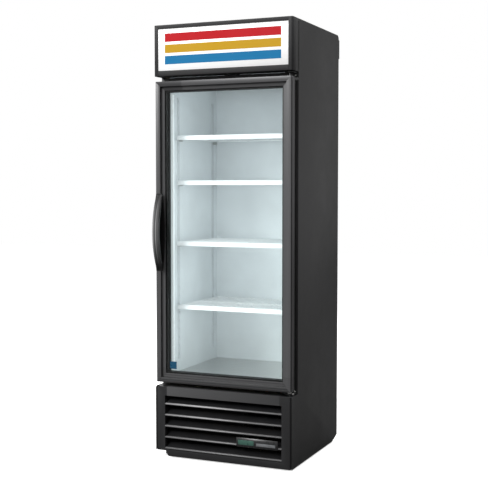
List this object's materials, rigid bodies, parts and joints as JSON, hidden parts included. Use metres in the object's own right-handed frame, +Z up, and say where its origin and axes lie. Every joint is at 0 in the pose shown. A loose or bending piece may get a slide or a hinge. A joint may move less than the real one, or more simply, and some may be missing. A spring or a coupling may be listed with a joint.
{
  "type": "glass door merchandiser",
  "caption": "Upright cooler with a self-closing glass door, wire shelves, a lit sign header and a cooling unit behind a louvred grille.",
  "frame": {"origin": "on the floor, below the middle of the whole object's footprint", "axes": "+X to the right seen from the front, +Y to the back, +Z up; the door faces -Y"},
  "size_m": [0.68, 0.687, 1.997],
  "materials": {
    "black_steel": "satin textured powder coat",
    "black_frame": "satin anodised",
    "black_plastic": "matte",
    "black_rubber": "matte",
    "grille_black": "satin",
    "zinc_steel": "zinc plated",
    "stainless": "brushed",
    "aluminium": "mill finish",
    "copper": "bare copper tube",
    "liner_white": "gloss white",
    "shelf_white": "plastic coated wire",
    "label_white": "gloss",
    "foam": "rigid foam",
    "sign_white": "backlit",
    "band_colours": "printed film",
    "lamp_white": "diffuser",
    "pane_glass": "clear",
    "decal_blue": "printed film",
    "compressor_black": "gloss",
    "motor_grey": "satin"
  },
  "bodies": {
    "cabinet": {"side_panel_left": "black_steel", "side_panel_right": "black_steel", "top_panel": "black_steel", "back_panel": "zinc_steel", "foam_insulation": "foam", "inner_liner": "liner_white", "cabinet_floor": "stainless", "front_frame": "black_plastic", "header_housing": "black_steel", "header_bezel": "black_frame", "sign_panel": "sign_white", "sign_bands": "band_colours", "sign_lamps": "lamp_white", "hinge_bracket_top": "black_steel", "hinge_bracket_bottom": "black_steel", "grille_frame": "grille_black", "grille_louvers": "grille_black", "nameplate": "black_plastic", "base_rails": "black_steel", "base_tray": "black_steel", "compressor": "compressor_black", "condenser_coil": "compressor_black", "fan_shroud": "black_steel", "condenser_fan_motor": "motor_grey", "refrigerant_tubes": "copper", "rear_cover": "zinc_steel", "cord_inlet": "black_plastic", "evaporator_cover": "liner_white", "evaporator_coil": "aluminium", "evaporator_fan_motor": "motor_grey", "shelf_pilasters": "zinc_steel", "shelf_1": "shelf_white", "shelf_2": "shelf_white", "shelf_3": "shelf_white", "shelf_4": "shelf_white", "label_strips": "label_white", "shelf_clips": "zinc_steel", "interior_lamps": "lamp_white", "rear_bumpers": "black_plastic"},
    "door": {"door_stile_left": "black_frame", "door_stile_right": "black_frame", "door_rail_top": "black_frame", "door_rail_bottom": "black_frame", "glazing_bead": "black_plastic", "outer_pane": "pane_glass", "inner_pane": "pane_glass", "pane_spacer": "black_plastic", "door_gasket": "black_rubber", "door_handle": "black_plastic", "handle_screws": "zinc_steel", "glass_decal": "decal_blue", "hinge_pins": "zinc_steel"},
    "condenser_fan": {"condenser_fan_blade": "aluminium"},
    "evaporator_fan": {"evaporator_fan_blade": "black_plastic"},
    "foot_front_left": {"foot_front_left": "motor_grey"},
    "foot_front_right": {"foot_front_right": "motor_grey"},
    "foot_rear_left": {"foot_rear_left": "motor_grey"},
    "foot_rear_right": {"foot_rear_right": "motor_grey"},
    "lamp_switch": {"lamp_switch": "black_plastic"},
    "thermostat_knob": {"thermostat_knob": "black_plastic"}
  },
  "joints": [
    {"name": "door_hinge", "type": "hinge", "parent": "cabinet", "child": "door", "pos_m": [0.318, -0.2705, 0], "axis": [0, 0, 1], "range_deg": [0, 110], "stiffness_Nm_per_rad": 2.5, "springref_deg": -28.65},
    {"name": "condenser_fan_spin", "type": "hinge", "parent": "cabinet", "child": "condenser_fan", "pos_m": [-0.102, -0.1224, 0.1606], "axis": [0, 1, 0], "continuous": true},
    {"name": "evaporator_fan_spin", "type": "hinge", "parent": "cabinet", "child": "evaporator_fan", "pos_m": [0, -0.1485, 1.835], "axis": [0, 1, 0], "continuous": true},
    {"name": "lamp_switch_rock", "type": "hinge", "parent": "cabinet", "child": "lamp_switch", "pos_m": [0.215, -0.1797, 1.835], "axis": [1, 0, 0], "range_deg": [-8, 8]},
    {"name": "thermostat_turn", "type": "hinge", "parent": "cabinet", "child": "thermostat_knob", "pos_m": [-0.215, -0.1885, 1.835], "axis": [0, -1, 0], "range_deg": [0, 270]},
    {"name": "foot_front_left_screw", "type": "slide", "parent": "cabinet", "child": "foot_front_left", "axis": [0, 0, -1], "range_m": [0, 0.02]},
    {"name": "foot_front_right_screw", "type": "slide", "parent": "cabinet", "child": "foot_front_right", "axis": [0, 0, -1], "range_m": [0, 0.02]},
    {"name": "foot_rear_left_screw", "type": "slide", "parent": "cabinet", "child": "foot_rear_left", "axis": [0, 0, -1], "range_m": [0, 0.02]},
    {"name": "foot_rear_right_screw", "type": "slide", "parent": "cabinet", "child": "foot_rear_right", "axis": [0, 0, -1], "range_m": [0, 0.02]}
  ]
}
